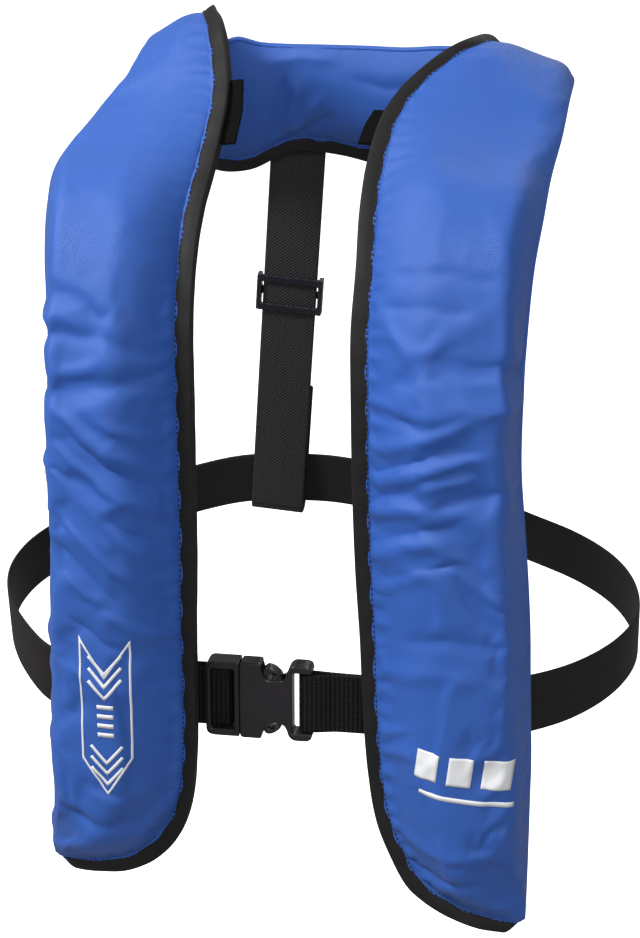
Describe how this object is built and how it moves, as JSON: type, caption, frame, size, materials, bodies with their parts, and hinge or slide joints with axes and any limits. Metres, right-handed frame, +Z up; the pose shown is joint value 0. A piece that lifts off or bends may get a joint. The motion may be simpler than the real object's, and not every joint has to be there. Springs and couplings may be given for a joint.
{
  "type": "inflatable life jacket",
  "caption": "Slim horseshoe life jacket with a folded bladder in a nylon cover, waist belt, back strap, side-release buckle and gas inflator.",
  "frame": {"origin": "between the shoulders, where the jacket rests on the wearer's neck and shoulders", "axes": "+Z up the wearer's body, the front faces -Y, +X to the right of someone looking at the front"},
  "size_m": [0.408, 0.2943, 0.5321],
  "materials": {
    "cover": "coated woven nylon, satin",
    "binding": "woven binding tape, matt",
    "webbing": "ribbed polyester webbing, matt",
    "belt": "smooth belt webbing, matt",
    "hook_tape": "hook and loop tape, matt",
    "bladder": "urethane coated cloth, satin",
    "buckle": "moulded nylon, semi-gloss",
    "inflator": "moulded nylon, satin",
    "cap": "moulded nylon, satin",
    "handle": "moulded, semi-gloss",
    "cylinder": "zinc plated, satin",
    "pin": "ground, bright",
    "nut": "turned, satin",
    "tube": "moulded, matt",
    "whistle": "moulded, semi-gloss",
    "seal": "moulded, matt",
    "bobbin": "pressed, matt"
  },
  "bodies": {
    "jacket": {"front_cover_left": "cover", "front_cover_yoke": "cover", "front_cover_right": "cover", "rear_cover_left": "cover", "rear_cover_yoke": "cover", "rear_cover_right": "cover", "front_binding_left": "binding", "front_binding_yoke": "binding", "front_binding_right": "binding", "rear_binding_left": "binding", "rear_binding_right": "binding", "rear_binding_yoke": "binding", "bladder": "bladder", "closure_tab_left": "hook_tape", "closure_tab_right": "hook_tape", "waist_belt": "belt", "belt_keeper_left": "webbing", "belt_keeper_right": "webbing", "back_strap": "webbing", "buckle_female": "buckle", "inflator_body": "inflator", "lever_pin": "pin", "clamp_nut": "nut", "bobbin": "bobbin", "oral_tube": "tube", "oral_valve": "inflator", "whistle": "whistle", "pin_spring": "pin"},
    "cover_flap": {"front_cover_flap": "cover", "front_binding_flap": "binding"},
    "male_buckle": {"buckle_male": "buckle", "belt_adjuster_end": "webbing"},
    "upper_prong": {"prong_upper": "buckle"},
    "lower_prong": {"prong_lower": "buckle"},
    "strap_adjuster": {"strap_slider": "buckle", "strap_end": "webbing"},
    "cylinder": {"gas_cylinder": "cylinder", "cylinder_seal": "seal"},
    "lever": {"firing_lever": "handle"},
    "pull_handle": {"pull_toggle": "handle", "pull_lanyard": "handle"},
    "pin": {"piercing_pin": "pin"},
    "cap": {"bobbin_cap": "cap"},
    "poppet": {"valve_poppet": "handle"},
    "tube_cap": {"oral_cap": "inflator"}
  },
  "joints": [
    {"name": "cover_open", "type": "hinge", "parent": "jacket", "child": "cover_flap", "pos_m": [-0.1565, -0.142, -0.371], "axis": [0, 0, -1], "range_deg": [0, 75]},
    {"name": "buckle_release", "type": "slide", "parent": "jacket", "child": "male_buckle", "axis": [-1, 0, 0], "range_m": [0, 0.036]},
    {"name": "prong_squeeze_upper", "type": "hinge", "parent": "male_buckle", "child": "upper_prong", "pos_m": [-0.0397, -0.1255, -0.3595], "axis": [0, 1, 0], "range_deg": [0, 8], "stiffness_Nm_per_rad": 0.05},
    {"name": "prong_squeeze_lower", "type": "hinge", "parent": "male_buckle", "child": "lower_prong", "pos_m": [-0.0397, -0.1255, -0.3825], "axis": [0, -1, 0], "range_deg": [0, 8], "stiffness_Nm_per_rad": 0.05},
    {"name": "slider_adjust", "type": "slide", "parent": "jacket", "child": "strap_adjuster", "axis": [0.0764, -0.0898, 0.993], "range_m": [-0.025, 0.025]},
    {"name": "lever_pull", "type": "hinge", "parent": "jacket", "child": "lever", "pos_m": [-0.099, -0.158, -0.401], "axis": [0, 1, 0], "range_deg": [0, 50]},
    {"name": "toggle_pull", "type": "slide", "parent": "jacket", "child": "pull_handle", "axis": [0, 0, -1], "range_m": [0, 0.01]},
    {"name": "pin_rise", "type": "slide", "parent": "jacket", "child": "pin", "axis": [0, 0, 1], "range_m": [0, 0.004], "deforming": ["pin_spring"]},
    {"name": "cylinder_unscrew", "type": "hinge", "parent": "jacket", "child": "cylinder", "pos_m": [-0.118, -0.158, -0.367], "axis": [0, 0, 1], "continuous": true},
    {"name": "cap_unscrew", "type": "hinge", "parent": "jacket", "child": "cap", "pos_m": [-0.118, -0.158, -0.422], "axis": [0, 0, 1], "continuous": true},
    {"name": "valve_press", "type": "slide", "parent": "jacket", "child": "poppet", "axis": [0, 0, -1], "range_m": [0, 0.002], "stiffness_N_per_m": 50},
    {"name": "tube_cap_off", "type": "slide", "parent": "jacket", "child": "tube_cap", "axis": [0, 0, 1], "range_m": [0, 0.012]}
  ],
  "couplings": [
    {"joint": "lever_pull", "follows": "toggle_pull", "rad_per_m": 87.256},
    {"joint": "pin_rise", "follows": "toggle_pull", "ratio": 0.4},
    {"joint": "prong_squeeze_lower", "follows": "prong_squeeze_upper", "ratio": 1}
  ]
}
